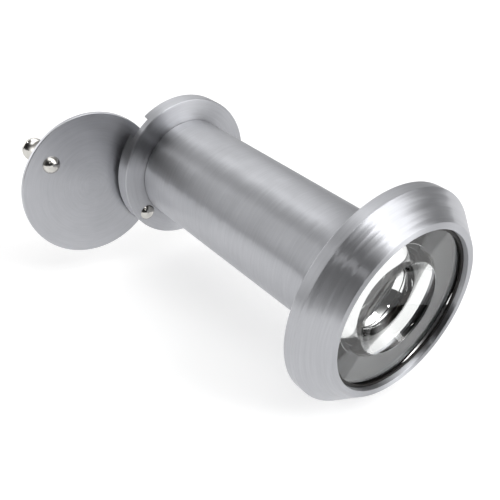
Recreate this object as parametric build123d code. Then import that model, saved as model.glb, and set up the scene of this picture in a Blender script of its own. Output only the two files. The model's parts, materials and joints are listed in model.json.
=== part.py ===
"""Door viewer with a large objective and a swing cover.

Millimetres. The optical axis is the Y axis: the exterior bezel faces -Y and the
room side is +Y. The origin is on the axis, in the bezel's back face, which rests
on the outside of the door. +Z is up.
"""
from build123d import *
import math
import os

# --- driving dimensions -------------------------------------------------------
BARREL_R = 13.0
BARREL_BORE_R = 11.6
BARREL_SPIGOT_R = 12.5
BARREL_SHOULDER = 0.5
BARREL_END_Y = 66.0

BEZEL_R = 24.15
BEZEL_RIM = 2.7
BEZEL_HEIGHT = 8.0
BEZEL_FLOOR = 1.6
LIP_R = 19.45
WELL_R = 18.0

GLASS_FACE_Y = -6.4
GLASS_SHOULDER_Y = -2.0
GLASS_REAR_Y = 2.2
GLASS_R = 17.8
GLASS_CAVITY_R = 10.4
GLASS_CAVITY_DEPTH = 6.0
LOCK_RING_R = 17.3
LOCK_RING_HEIGHT = 0.5

STACK_R = 11.5
SPACER_BORE_R = 10.3
FRONT_SPACER_LENGTH = 3.8
SECOND_LENS_LENGTH = 4.0
MIDDLE_SPACER_LENGTH = 7.0
THIRD_LENS_LENGTH = 3.5
BAFFLE_LENGTH = 0.8
STACK_RING_LENGTH = 3.0

TUBE_R = 11.5
TUBE_BORE_R = 9.2
TUBE_SEAT_R = 10.0
TUBE_FRONT_Y = 27.0
TUBE_SEAT_Y = 59.4

FLANGE_Y = 66.2
FLANGE_R = 18.3
FLANGE_PLATE = 1.6
FLANGE_DEPTH = 3.8
FLANGE_RECESS_R = 16.2
NOTCH_ANGLE = 131.0
NOTCH_WIDTH = 5.7
NOTCH_DEPTH = 1.95

EYE_LENS_R = 9.9
EYE_LENS_EDGE = 2.0
EYE_LENS_CROWN = 2.0
EYE_RING_BORE_R = 8.2
EYE_RING_MOUTH_R = 9.3
EYE_RING_REAR_Y = 67.5

PIVOT_ARM = 15.4
PIVOT_ANGLE = -144.0
SWING_OPEN = 105.0
COVER_TILT = 3.9
COVER_R = 18.2
COVER_THICKNESS = 1.0
COVER_GAP = 0.5
COVER_HOLE_R = 1.3
KNOB_OFFSET = 12.7
RIVET_R = 1.1
RIVET_HOLE_R = 1.15
RIVET_HEAD_R = 2.0
RIVET_HEAD_HEIGHT = 1.1
WASHER_R = 2.4
PIVOT_RELIEF_R = 3.1
KNOB_STEM_R = 1.5
KNOB_FOOT_R = 2.5
KNOB_COLLAR_R = 2.9
KNOB_COLLAR_Y = 10.3
KNOB_COLLAR_RIM = 0.8
KNOB_TIP_R = 1.95
KNOB_BORE_R = 1.0
KNOB_BORE_DEPTH = 5.0
KNOB_DOME_R = 2.2
KNOB_DOME_HEIGHT = 1.4

# --- derived places -----------------------------------------------------------
FLANGE_REAR_Y = FLANGE_Y + FLANGE_DEPTH
PLATE_REAR_Y = FLANGE_Y + FLANGE_PLATE
COVER_INNER_Y = FLANGE_REAR_Y + COVER_GAP
COVER_MID_Y = COVER_INNER_Y + COVER_THICKNESS / 2
OPEN_ANGLE = PIVOT_ANGLE + 180 + SWING_OPEN


def on_circle(radius, degrees):
    """The X and Z of a point in a plane across the axis, at an angle from +X."""
    turn = math.radians(degrees)
    return radius * math.cos(turn), radius * math.sin(turn)


PIVOT_X, PIVOT_Z = on_circle(PIVOT_ARM, PIVOT_ANGLE)


def turned(*points):
    """A solid of revolution about the Y axis from (radius, y) points, in order."""
    outline = Polyline(*points, close=True)
    return revolve(make_face(outline), Axis.Y, 360)


def ring(inner, outer, low, high):
    """A plain ring or washer on the Y axis."""
    return turned((inner, low), (outer, low), (outer, high), (inner, high))


def rod(radius, low, high):
    """A plain cylinder on the Y axis."""
    return ring(0, radius, low, high)


def bulge(rim_radius, height):
    """The radius of the sphere whose cap has this rim radius and height."""
    return (rim_radius**2 + height**2) / (2 * height)


def ball(radius, centre_y):
    """A sphere on the Y axis."""
    return Pos(0, centre_y, 0) * Sphere(radius)


def scooped(body, rim_radius, face_y, depth, inward):
    """Cuts a spherical hollow into a face; inward is +1 or -1 along Y."""
    sphere_radius = bulge(rim_radius, depth)
    return body - ball(sphere_radius, face_y + inward * (depth - sphere_radius))


def cap(rim_radius, face_y, height, outward):
    """A spherical cap that stands on a face; outward is +1 or -1 along Y."""
    top_y = face_y + outward * height
    rim = (rim_radius, face_y)
    sphere_radius = bulge(rim_radius, height)
    centre_y = top_y - outward * sphere_radius
    half_turn = math.acos((sphere_radius - height) / sphere_radius) / 2
    middle = (
        sphere_radius * math.sin(half_turn),
        centre_y + outward * sphere_radius * math.cos(half_turn),
    )
    arc = ThreePointArc(rim, middle, (0, top_y))
    straight = Polyline((0, top_y), (0, face_y), rim)
    return revolve(make_face(arc + straight), Axis.Y, 360)


def at_pivot(body):
    """Moves a solid made on the Y axis to the cover's pivot."""
    return Pos(PIVOT_X, 0, PIVOT_Z) * body


def on_cover(body, along):
    """Places a solid made on the Y axis on the open, tilted cover.

    Its own y = 0 is the middle of the cover's thickness, and along is its
    distance from the pivot towards the knob.
    """
    tilt = Pos(along, 0, 0) * body
    tilt = Rot(0, 0, COVER_TILT) * tilt
    tilt = Rot(0, -OPEN_ANGLE, 0) * tilt
    return Pos(PIVOT_X, COVER_MID_Y, PIVOT_Z) * tilt


def make_bezel():
    """The exterior collar: rim, bevelled face, narrow lip and a deep well."""
    edge = 0.3
    return turned(
        (BARREL_SPIGOT_R, -BARREL_SHOULDER),
        (BARREL_R, 0),
        (BEZEL_R - edge, 0),
        (BEZEL_R, -edge),
        (BEZEL_R, -BEZEL_RIM),
        (LIP_R + edge, -BEZEL_HEIGHT + edge),
        (LIP_R - edge, -BEZEL_HEIGHT),
        (WELL_R + edge, -BEZEL_HEIGHT),
        (WELL_R, -BEZEL_HEIGHT + edge),
        (WELL_R, -BEZEL_FLOOR),
        (BARREL_SPIGOT_R, -BEZEL_FLOOR),
    )


def make_outer_barrel():
    """The tube through the door: its spigot and cone are brazed into the bezel."""
    chamfer = 0.35
    return turned(
        (BARREL_BORE_R, -BEZEL_FLOOR),
        (BARREL_SPIGOT_R, -BEZEL_FLOOR),
        (BARREL_SPIGOT_R, -BARREL_SHOULDER),
        (BARREL_R, 0),
        (BARREL_R, BARREL_END_Y - chamfer),
        (BARREL_R - chamfer, BARREL_END_Y),
        (BARREL_BORE_R + chamfer, BARREL_END_Y),
        (BARREL_BORE_R, BARREL_END_Y - chamfer),
    )


def make_objective_lens():
    """The front glass: a wide flat rim round a deep hollow, with a rear boss."""
    edge = 0.3
    blank = turned(
        (0, GLASS_FACE_Y),
        (GLASS_R - edge, GLASS_FACE_Y),
        (GLASS_R, GLASS_FACE_Y + edge),
        (GLASS_R, GLASS_SHOULDER_Y),
        (STACK_R, GLASS_SHOULDER_Y),
        (STACK_R, GLASS_REAR_Y),
        (0, GLASS_REAR_Y),
    )
    return scooped(blank, GLASS_CAVITY_R, GLASS_FACE_Y, GLASS_CAVITY_DEPTH, 1)


def make_small_lens(front_y, length, hollow_r, hollow_depth):
    """A plano-concave lens of the stack, hollow towards the outside."""
    blank = rod(STACK_R, front_y, front_y + length)
    return scooped(blank, hollow_r, front_y, hollow_depth, 1)


def make_lens_stack():
    """The spacers, lenses, baffle and threaded ring behind the objective."""
    y = GLASS_REAR_Y
    nodes = {}
    nodes["front_spacer"] = ring(SPACER_BORE_R, STACK_R, y, y + FRONT_SPACER_LENGTH)
    y += FRONT_SPACER_LENGTH
    nodes["second_lens"] = make_small_lens(y, SECOND_LENS_LENGTH, 7.6, 2.8)
    y += SECOND_LENS_LENGTH
    nodes["middle_spacer"] = ring(SPACER_BORE_R, STACK_R, y, y + MIDDLE_SPACER_LENGTH)
    y += MIDDLE_SPACER_LENGTH
    nodes["third_lens"] = make_small_lens(y, THIRD_LENS_LENGTH, 6.0, 1.8)
    y += THIRD_LENS_LENGTH
    nodes["stack_baffle"] = ring(5.0, STACK_R, y, y + BAFFLE_LENGTH)
    y += BAFFLE_LENGTH
    slot = Pos(0, y + STACK_RING_LENGTH, 0) * Box(2 * BARREL_R, 2.4, 1.6)
    stack_ring = ring(8.5, BARREL_BORE_R, y, y + STACK_RING_LENGTH) - slot
    nodes["lens_stack_ring"] = stack_ring
    return nodes


def make_inner_tube():
    """The male tube of the interior unit, with a seat for the eyepiece."""
    chamfer = 0.6
    return turned(
        (TUBE_BORE_R, TUBE_FRONT_Y),
        (TUBE_R - chamfer, TUBE_FRONT_Y),
        (TUBE_R, TUBE_FRONT_Y + chamfer),
        (TUBE_R, PLATE_REAR_Y),
        (TUBE_SEAT_R, PLATE_REAR_Y),
        (TUBE_SEAT_R, TUBE_SEAT_Y),
        (TUBE_BORE_R, TUBE_SEAT_Y),
    )


def make_interior_flange():
    """The room-side collar: a plate with a raised lip, notched and relieved."""
    edge = 0.25
    body = turned(
        (TUBE_R, FLANGE_Y),
        (FLANGE_R - edge, FLANGE_Y),
        (FLANGE_R, FLANGE_Y + edge),
        (FLANGE_R, FLANGE_REAR_Y - edge),
        (FLANGE_R - edge, FLANGE_REAR_Y),
        (FLANGE_RECESS_R, FLANGE_REAR_Y),
        (FLANGE_RECESS_R, PLATE_REAR_Y),
        (TUBE_R, PLATE_REAR_Y),
    )
    notch = Box(2 * FLANGE_DEPTH, 2 * NOTCH_DEPTH, NOTCH_WIDTH)
    for side in (0, 180):
        x, z = on_circle(FLANGE_R, NOTCH_ANGLE + side)
        body -= Pos(x, FLANGE_REAR_Y, z) * Rot(0, -NOTCH_ANGLE, 0) * notch
    body -= at_pivot(rod(PIVOT_RELIEF_R, PLATE_REAR_Y, FLANGE_REAR_Y + 1))
    body -= at_pivot(rod(RIVET_HOLE_R, FLANGE_Y - 1, PLATE_REAR_Y + 1))
    return body


def make_eyepiece_lens():
    """The plano-convex lens that the eye looks into."""
    crown_y = TUBE_SEAT_Y + EYE_LENS_EDGE
    disc = rod(EYE_LENS_R, TUBE_SEAT_Y, crown_y)
    return disc + cap(EYE_LENS_R, crown_y, EYE_LENS_CROWN, 1)


def make_eyepiece_ring():
    """The threaded ring that holds the eyepiece, opening as a shallow cone."""
    start_y = TUBE_SEAT_Y + EYE_LENS_EDGE + 0.7
    return turned(
        (EYE_RING_BORE_R, start_y),
        (TUBE_SEAT_R, start_y),
        (TUBE_SEAT_R, EYE_RING_REAR_Y),
        (EYE_RING_MOUTH_R, EYE_RING_REAR_Y),
        (EYE_RING_BORE_R, start_y + 1.2),
    )


def make_pivot_pieces():
    """The rivet, its spacer and its two washers, on the cover's pivot axis."""
    outer_washer_y = COVER_INNER_Y + COVER_THICKNESS + 0.2
    tail_y = outer_washer_y + 0.5 + 0.05
    shank = rod(RIVET_R, FLANGE_Y, tail_y)
    rivet = cap(RIVET_HEAD_R, FLANGE_Y, RIVET_HEAD_HEIGHT, -1) + shank
    rivet += rod(1.8, tail_y, tail_y + 0.35) + cap(1.8, tail_y + 0.35, 0.5, 1)
    spacer_y = PLATE_REAR_Y + 1.3
    spring_low, spring_high, wire = spacer_y, COVER_INNER_Y - 0.2, 0.4
    spring = turned(
        (RIVET_HOLE_R + 0.05, spring_high - wire),
        (WASHER_R, spring_low),
        (WASHER_R, spring_low + wire),
        (RIVET_HOLE_R + 0.05, spring_high),
    )
    return {
        "pivot_rivet": at_pivot(rivet),
        "pivot_spacer": at_pivot(ring(RIVET_R, WASHER_R, PLATE_REAR_Y, spacer_y)),
        "cone_spring_washer": at_pivot(spring),
        "outer_washer": at_pivot(
            ring(RIVET_HOLE_R + 0.05, WASHER_R, outer_washer_y, outer_washer_y + 0.5)
        ),
    }


def make_knob(foot_y):
    """The pull knob: a slim stem that flares to a collar under a domed tip."""
    foot_top = foot_y + 0.6
    rim_low = (KNOB_COLLAR_R, KNOB_COLLAR_Y)
    rim_high = (KNOB_COLLAR_R, KNOB_COLLAR_Y + KNOB_COLLAR_RIM)
    tip_base_y = rim_high[1] + 0.3
    flare_start = (KNOB_STEM_R, KNOB_COLLAR_Y - 2.6)
    flare = Spline(flare_start, rim_low, tangents=((0, 1), (1, 0.45)))
    before = Polyline(
        (KNOB_BORE_R, foot_y),
        (KNOB_FOOT_R, foot_y),
        (KNOB_FOOT_R, foot_top),
        (KNOB_STEM_R, foot_top + 0.3),
        flare_start,
    )
    after = Polyline(
        rim_low,
        rim_high,
        (KNOB_TIP_R, tip_base_y),
        (0, tip_base_y),
        (0, KNOB_BORE_DEPTH),
        (KNOB_BORE_R, KNOB_BORE_DEPTH),
        (KNOB_BORE_R, foot_y),
    )
    body = revolve(make_face(before + flare + after), Axis.Y, 360)
    return body + cap(KNOB_TIP_R, tip_base_y, KNOB_TIP_R, 1)


def make_cover_pieces():
    """The cover disc with its pull knob and the rivet that holds the knob."""
    half = COVER_THICKNESS / 2
    edge = 0.2
    disc = turned(
        (0, -half),
        (COVER_R - edge, -half),
        (COVER_R, -half + edge),
        (COVER_R, half - edge),
        (COVER_R - edge, half),
        (0, half),
    )
    disc -= Pos(-PIVOT_ARM, 0, 0) * rod(COVER_HOLE_R, -1, 1)
    disc -= Pos(KNOB_OFFSET, 0, 0) * rod(KNOB_BORE_R, -1, 1)
    knob = make_knob(half)
    knob_rivet = rod(KNOB_BORE_R, -half, KNOB_BORE_DEPTH)
    knob_rivet += cap(KNOB_DOME_R, -half, KNOB_DOME_HEIGHT, -1)
    knob_along = PIVOT_ARM + KNOB_OFFSET
    return {
        "cover_disc": on_cover(disc, PIVOT_ARM),
        "cover_knob": on_cover(knob, knob_along),
        "knob_rivet": on_cover(knob_rivet, knob_along),
    }


def make_all():
    """Every node of the viewer, by name."""
    nodes = {
        "bezel": make_bezel(),
        "outer_barrel": make_outer_barrel(),
        "objective_lens": make_objective_lens(),
        "lens_gasket": ring(12.0, GLASS_R, GLASS_SHOULDER_Y, -BEZEL_FLOOR),
        "objective_lock_ring": ring(
            LOCK_RING_R, WELL_R, GLASS_FACE_Y - LOCK_RING_HEIGHT, GLASS_FACE_Y
        ),
        "inner_tube": make_inner_tube(),
        "tube_baffle": ring(4.5, TUBE_BORE_R, TUBE_FRONT_Y + 0.6, TUBE_FRONT_Y + 1.4),
        "interior_flange": make_interior_flange(),
        "eyepiece_lens": make_eyepiece_lens(),
        "eyepiece_ring": make_eyepiece_ring(),
    }
    nodes.update(make_lens_stack())
    nodes.update(make_pivot_pieces())
    nodes.update(make_cover_pieces())
    return nodes


os.makedirs("parts", exist_ok=True)
for name, shape in make_all().items():
    export_step(shape, f"parts/{name}.step")
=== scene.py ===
"""Looks for a door viewer with a wide objective, a smooth barrel and a swing cover.

Every length in this file is in millimetres and is turned into metres once, where
a mesh is made. The optical axis is Y, the bezel faces -Y and the room side is +Y.
"""
import json
import logging
import math
from dataclasses import dataclass, field
from enum import Enum
from typing import Any, Optional, Sequence

import bmesh
import bpy
from mathutils import Matrix, Vector


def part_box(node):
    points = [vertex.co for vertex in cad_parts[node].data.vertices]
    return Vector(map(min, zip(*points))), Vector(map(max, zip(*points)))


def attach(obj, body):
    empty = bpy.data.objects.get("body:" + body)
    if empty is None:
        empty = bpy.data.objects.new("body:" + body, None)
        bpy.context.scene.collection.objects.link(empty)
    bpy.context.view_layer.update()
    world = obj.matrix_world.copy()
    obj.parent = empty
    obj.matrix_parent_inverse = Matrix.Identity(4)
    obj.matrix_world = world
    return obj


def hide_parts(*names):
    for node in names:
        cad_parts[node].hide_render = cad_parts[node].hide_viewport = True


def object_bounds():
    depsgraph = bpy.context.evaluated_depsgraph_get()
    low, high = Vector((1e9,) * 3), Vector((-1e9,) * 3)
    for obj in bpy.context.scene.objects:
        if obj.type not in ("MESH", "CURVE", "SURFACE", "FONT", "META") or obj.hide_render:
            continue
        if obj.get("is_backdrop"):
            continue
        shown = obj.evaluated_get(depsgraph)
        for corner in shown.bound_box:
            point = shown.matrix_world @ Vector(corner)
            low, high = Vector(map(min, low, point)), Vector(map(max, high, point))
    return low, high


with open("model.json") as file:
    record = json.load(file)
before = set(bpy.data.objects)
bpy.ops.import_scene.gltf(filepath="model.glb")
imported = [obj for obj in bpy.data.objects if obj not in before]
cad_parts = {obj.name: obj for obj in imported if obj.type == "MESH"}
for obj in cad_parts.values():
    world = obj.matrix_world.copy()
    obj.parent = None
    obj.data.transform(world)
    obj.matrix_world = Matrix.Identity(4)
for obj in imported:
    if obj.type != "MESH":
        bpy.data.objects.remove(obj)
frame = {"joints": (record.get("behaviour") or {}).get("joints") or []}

LOG = logging.getLogger("door_viewer")
MM = 0.001
LATHE_SEGMENTS = 192
SHARP_ANGLE = math.radians(35)


class Body(Enum):
    """The moving bodies of the viewer, as the frame names them."""

    EXTERIOR = "exterior_unit"
    INTERIOR = "interior_unit"
    WASHERS = "pivot_washers"
    COVER = "cover"


class Slot(Enum):
    """The material slots of the record."""

    SATIN_NICKEL = "satin_nickel"
    BRIGHT_NICKEL = "bright_nickel"
    TURNED_BRASS = "turned_brass"
    BLACKENED_BRASS = "blackened_brass"
    SPRING_STEEL = "spring_steel"
    GREY_RUBBER = "grey_rubber"
    OPTICAL_GLASS = "optical_glass"


# --- small helpers --------------------------------------------------------------


def linear(code: str, alpha: float = 1.0) -> tuple[float, float, float, float]:
    """Turns an sRGB hex colour into linear light.

    Args:
        code: The colour as "#RRGGBB".
        alpha: The fourth component.

    Returns:
        Red, green, blue and alpha, each from 0 to 1.
    """
    parts = [int(code[i : i + 2], 16) / 255 for i in (1, 3, 5)]
    light = [v / 12.92 if v <= 0.04045 else ((v + 0.055) / 1.055) ** 2.4 for v in parts]
    return (light[0], light[1], light[2], alpha)


def add_node(
    tree: bpy.types.NodeTree,
    kind: str,
    inputs: Optional[dict[Any, Any]] = None,
    **settings: Any,
) -> bpy.types.Node:
    """Adds a node with its settings and links.

    Args:
        tree: The node tree that gets the node.
        kind: The node's type name.
        inputs: A value, or another node's output, for each input by name or index.
        settings: The node's own settings.

    Returns:
        The new node.
    """
    node = tree.nodes.new(kind)
    for name, value in settings.items():
        setattr(node, name, value)
    for key, value in (inputs or {}).items():
        if isinstance(value, bpy.types.NodeSocket):
            tree.links.new(value, node.inputs[key])
        else:
            node.inputs[key].default_value = value
    return node


def box_mm(node: str) -> tuple[Vector, Vector]:
    """The low and high corners of a node of the frame, in millimetres."""
    low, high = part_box(node)
    return low / MM, high / MM


def joint(name: str) -> dict[str, Any]:
    """One joint of the frame, by name."""
    return next(j for j in frame["joints"] if j["name"] == name)


# --- finishes -------------------------------------------------------------------


@dataclass(frozen=True)
class Finish:
    """A surface finish that knows how to build its own material."""

    name: str

    def dress(self, tree: bpy.types.NodeTree, shader: bpy.types.Node) -> None:
        """Adds this finish's nodes to a tree and links them to its shader."""
        raise NotImplementedError

    def material(self) -> bpy.types.Material:
        """The material of this finish, made once and then shared."""
        found = bpy.data.materials.get(self.name)
        if found is not None:
            return found
        material = bpy.data.materials.new(self.name)
        material.use_nodes = True
        tree = material.node_tree
        tree.nodes.clear()
        output = add_node(tree, "ShaderNodeOutputMaterial")
        shader = add_node(tree, "ShaderNodeBsdfPrincipled")
        tree.links.new(shader.outputs["BSDF"], output.inputs["Surface"])
        self.dress(tree, shader)
        return material


# The noise seldom leaves this range, so it is stretched from here over a new one.
NOISE_LOW = 0.3
NOISE_HIGH = 0.7


def blotches(
    tree: bpy.types.NodeTree,
    size_mm: float,
    low: float = 0.0,
    high: float = 1.0,
    detail: float = 2.0,
) -> bpy.types.NodeSocket:
    """A soft pattern of blotches on Object coordinates, between two values.

    Args:
        tree: The material's tree.
        size_mm: The size of one blotch, in millimetres.
        low: The pattern's lowest value.
        high: Its highest value.
        detail: How many finer layers the pattern has.

    Returns:
        The pattern's value.
    """
    place = add_node(tree, "ShaderNodeTexCoord").outputs["Object"]
    noise = add_node(
        tree,
        "ShaderNodeTexNoise",
        {"Vector": place, "Scale": 1 / (size_mm * MM), "Detail": detail},
    )
    inputs = {"Value": noise.outputs["Fac"], "From Min": NOISE_LOW, "From Max": NOISE_HIGH}
    inputs.update({"To Min": low, "To Max": high})
    return add_node(tree, "ShaderNodeMapRange", inputs).outputs["Result"]


def grain(tree: bpy.types.NodeTree, size_mm: float, relief_mm: float) -> bpy.types.NodeSocket:
    """A fine relief without a direction.

    Args:
        tree: The material's tree.
        size_mm: The size of one grain, in millimetres.
        relief_mm: The height of the relief, in millimetres.

    Returns:
        The roughened normal.
    """
    place = add_node(tree, "ShaderNodeTexCoord").outputs["Object"]
    noise = add_node(
        tree,
        "ShaderNodeTexNoise",
        {"Vector": place, "Scale": 1 / (size_mm * MM), "Detail": 3.0},
    )
    relief = {"Height": noise.outputs["Fac"], "Distance": relief_mm * MM}
    return add_node(tree, "ShaderNodeBump", relief).outputs["Normal"]


def stained(
    tree: bpy.types.NodeTree,
    shader: bpy.types.Node,
    size_mm: float,
    tones: tuple[str, str],
    detail: float = 2.0,
) -> None:
    """Colours a shader in soft stains between two tones.

    Args:
        tree: The material's tree.
        shader: Its Principled shader.
        size_mm: The size of one stain, in millimetres.
        tones: The darker and the paler hex colour.
        detail: How many finer layers the stains have.
    """
    stain = blotches(tree, size_mm, detail=detail)
    inputs = {"Factor": stain, 6: linear(tones[0]), 7: linear(tones[1])}
    mix = add_node(tree, "ShaderNodeMix", inputs, data_type="RGBA")
    tree.links.new(mix.outputs[2], shader.inputs["Base Color"])


@dataclass(frozen=True)
class BrushedMetal(Finish):
    """Nickel plate brushed on the lathe.

    The part turns while an abrasive pad bears on it, so the grooves run round an
    axis. Light spreads across the grooves and stays crisp along them, which draws
    bright and dark rays over a flat ring and long streaks along a barrel.
    """

    dark: str = "#B3B4B8"
    pale: str = "#C3C4C8"
    roughness: float = 0.4
    anisotropy: float = 1.0
    # One groove of 0.04 mm is too fine to show, so bundles of grooves are drawn.
    bundle_mm: float = 0.32
    broad_scale: float = 0.55
    wear_mm: float = 9.0
    vary: float = 0.03
    around: float = 2.2
    sway: float = 0.035
    relief_mm: float = 0.002
    centre: tuple[float, float, float] = (0.0, 0.0, 0.0)
    axis: tuple[float, float, float] = (0.0, 1.0, 0.0)
    across: tuple[float, float, float] = (1.0, 0.0, 0.0)

    def _offset(self, tree: bpy.types.NodeTree) -> bpy.types.NodeSocket:
        """The place on the piece, measured from the brushing's centre.

        Args:
            tree: The material's tree.

        Returns:
            The place.
        """
        place = add_node(tree, "ShaderNodeTexCoord").outputs["Object"]
        centre = tuple(c * MM for c in self.centre)
        inputs = {0: place, 1: centre}
        return add_node(tree, "ShaderNodeVectorMath", inputs, operation="SUBTRACT").outputs[0]

    def _marks(
        self, tree: bpy.types.NodeTree, offset: bpy.types.NodeSocket
    ) -> tuple[bpy.types.NodeSocket, bpy.types.NodeSocket]:
        """Long marks that run round the axis, at two sizes.

        A mark is short across the grooves and long round the axis. The angle goes
        in as a point on a circle, so that the marks meet where a turn ends.

        Args:
            tree: The material's tree.
            offset: The place on the piece, from the centre.

        Returns:
            The fine marks and the broader ones, each from 0 to 1.
        """
        third = Vector(self.across).cross(Vector(self.axis))
        height, side, rise = (
            add_node(
                tree, "ShaderNodeVectorMath", {0: offset, 1: tuple(way)}, operation="DOT_PRODUCT"
            ).outputs["Value"]
            for way in (self.axis, self.across, third)
        )
        flat = add_node(tree, "ShaderNodeCombineXYZ", {0: side, 1: rise}).outputs[0]
        reach = add_node(tree, "ShaderNodeVectorMath", {0: flat}, operation="LENGTH")
        ray = add_node(tree, "ShaderNodeVectorMath", {0: flat}, operation="NORMALIZE")
        circle = add_node(tree, "ShaderNodeSeparateXYZ", {0: ray.outputs[0]}).outputs
        per_bundle = 1 / (self.bundle_mm * MM)
        sized = [
            add_node(tree, "ShaderNodeMath", {0: value, 1: scale}, operation="MULTIPLY").outputs[0]
            for value, scale in (
                (reach.outputs["Value"], per_bundle),
                (height, per_bundle),
                (circle[0], self.around),
                (circle[1], self.around),
            )
        ]
        spot = add_node(tree, "ShaderNodeCombineXYZ", {0: sized[0], 1: sized[1], 2: sized[2]})
        fine, broad = (
            add_node(
                tree,
                "ShaderNodeTexNoise",
                {"Vector": spot.outputs[0], "W": sized[3], "Scale": scale, "Detail": detail},
                noise_dimensions="4D",
            ).outputs["Fac"]
            for scale, detail in ((1.0, 3.0), (self.broad_scale, 2.0))
        )
        return fine, broad

    def _groove(
        self, tree: bpy.types.NodeTree, offset: bpy.types.NodeSocket
    ) -> bpy.types.NodeSocket:
        """The direction of the grooves, round the axis.

        Args:
            tree: The material's tree.
            offset: The place on the piece, from the centre.

        Returns:
            The direction, in the world.
        """
        around = add_node(
            tree, "ShaderNodeVectorMath", {0: self.axis, 1: offset}, operation="CROSS_PRODUCT"
        )
        turned_out = add_node(
            tree,
            "ShaderNodeVectorTransform",
            {0: around.outputs[0]},
            vector_type="VECTOR",
            convert_from="OBJECT",
            convert_to="WORLD",
        )
        inputs = {0: turned_out.outputs[0]}
        return add_node(tree, "ShaderNodeVectorMath", inputs, operation="NORMALIZE").outputs[0]

    def _relief(
        self,
        tree: bpy.types.NodeTree,
        groove: bpy.types.NodeSocket,
        fine: bpy.types.NodeSocket,
        broad: bpy.types.NodeSocket,
    ) -> bpy.types.NodeSocket:
        """The normal, swayed along the grooves and roughened by them.

        Args:
            tree: The material's tree.
            groove: The direction of the grooves.
            fine: The fine marks, which raise the relief.
            broad: The broader marks, which sway it.

        Returns:
            The new normal.
        """
        stretch = {"Value": broad, "From Min": NOISE_LOW, "From Max": NOISE_HIGH}
        stretch.update({"To Min": -self.sway, "To Max": self.sway})
        swing = add_node(tree, "ShaderNodeMapRange", stretch).outputs["Result"]
        lean = add_node(
            tree, "ShaderNodeVectorMath", {0: groove, "Scale": swing}, operation="SCALE"
        ).outputs[0]
        facing = add_node(tree, "ShaderNodeNewGeometry").outputs["Normal"]
        swayed = add_node(tree, "ShaderNodeVectorMath", {0: facing, 1: lean}, operation="ADD")
        even = add_node(
            tree, "ShaderNodeVectorMath", {0: swayed.outputs[0]}, operation="NORMALIZE"
        )
        height = {"Height": fine, "Distance": self.relief_mm * MM, "Strength": 1.0}
        bump = add_node(tree, "ShaderNodeBump", {**height, "Normal": even.outputs[0]})
        return bump.outputs["Normal"]

    def _tone(
        self, tree: bpy.types.NodeTree, fine: bpy.types.NodeSocket
    ) -> bpy.types.NodeSocket:
        """The colour: the marks' own tone, mixed half and half with broad wear.

        Args:
            tree: The material's tree.
            fine: The fine marks.

        Returns:
            The colour.
        """
        place = add_node(tree, "ShaderNodeTexCoord").outputs["Object"]
        wear = add_node(
            tree,
            "ShaderNodeTexNoise",
            {"Vector": place, "Scale": 1 / (self.wear_mm * MM), "Detail": 2.0},
        ).outputs["Fac"]
        both = add_node(tree, "ShaderNodeMath", {0: fine, 1: wear}, operation="ADD").outputs[0]
        mean = add_node(tree, "ShaderNodeMath", {0: both, 1: 0.5}, operation="MULTIPLY")
        stretch = {"Value": mean.outputs[0], "From Min": NOISE_LOW, "From Max": NOISE_HIGH}
        tone = add_node(tree, "ShaderNodeMapRange", stretch).outputs["Result"]
        inputs = {"Factor": tone, 6: linear(self.dark), 7: linear(self.pale)}
        return add_node(tree, "ShaderNodeMix", inputs, data_type="RGBA").outputs[2]

    def dress(self, tree: bpy.types.NodeTree, shader: bpy.types.Node) -> None:
        """Builds the turning marks: a groove direction, a sway and a fine relief.

        Args:
            tree: The material's tree.
            shader: Its Principled shader.
        """
        offset = self._offset(tree)
        fine, broad = self._marks(tree, offset)
        groove = self._groove(tree, offset)
        low, high = self.roughness - self.vary, self.roughness + self.vary
        rough = blotches(tree, self.wear_mm, low, high)
        tree.links.new(self._tone(tree, fine), shader.inputs["Base Color"])
        tree.links.new(rough, shader.inputs["Roughness"])
        tree.links.new(groove, shader.inputs["Tangent"])
        tree.links.new(self._relief(tree, groove, fine, broad), shader.inputs["Normal"])
        shader.inputs["Metallic"].default_value = 1.0
        shader.inputs["Anisotropic"].default_value = self.anisotropy
        # A quarter turn puts the long blur across the grooves.
        shader.inputs["Anisotropic Rotation"].default_value = 0.25


@dataclass(frozen=True)
class PlainMetal(Finish):
    """A metal with an even finish, such as a tumbled, rolled or blackened one.

    Its marks have no direction: a fine grain roughens it and a broad one stains it.
    """

    dark: str = "#BDBBB6"
    pale: str = "#D3D1CC"
    roughness: float = 0.16
    vary: float = 0.05
    metallic: float = 1.0
    grain_mm: float = 0.25
    stain_mm: float = 2.5
    relief_mm: float = 0.002

    def dress(self, tree: bpy.types.NodeTree, shader: bpy.types.Node) -> None:
        """Builds the grain and the stains.

        Args:
            tree: The material's tree.
            shader: Its Principled shader.
        """
        low, high = self.roughness - self.vary, self.roughness + self.vary
        stained(tree, shader, self.stain_mm, (self.dark, self.pale))
        tree.links.new(blotches(tree, self.stain_mm, low, high), shader.inputs["Roughness"])
        tree.links.new(grain(tree, self.grain_mm, self.relief_mm), shader.inputs["Normal"])
        shader.inputs["Metallic"].default_value = self.metallic


@dataclass(frozen=True)
class MouldedRubber(Finish):
    """Nitrile rubber from a blasted mould: matt, with a fine even pebble."""

    dark: str = "#7A7A7D"
    pale: str = "#868689"
    roughness: float = 0.75
    pebble_mm: float = 0.2
    pebble_height_mm: float = 0.01
    bloom_mm: float = 6.0

    def dress(self, tree: bpy.types.NodeTree, shader: bpy.types.Node) -> None:
        """Builds the pebble and a faint bloom.

        Args:
            tree: The material's tree.
            shader: Its Principled shader.
        """
        stained(tree, shader, self.bloom_mm, (self.dark, self.pale))
        pebble = grain(tree, self.pebble_mm, self.pebble_height_mm)
        tree.links.new(pebble, shader.inputs["Normal"])
        shader.inputs["Roughness"].default_value = self.roughness


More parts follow.
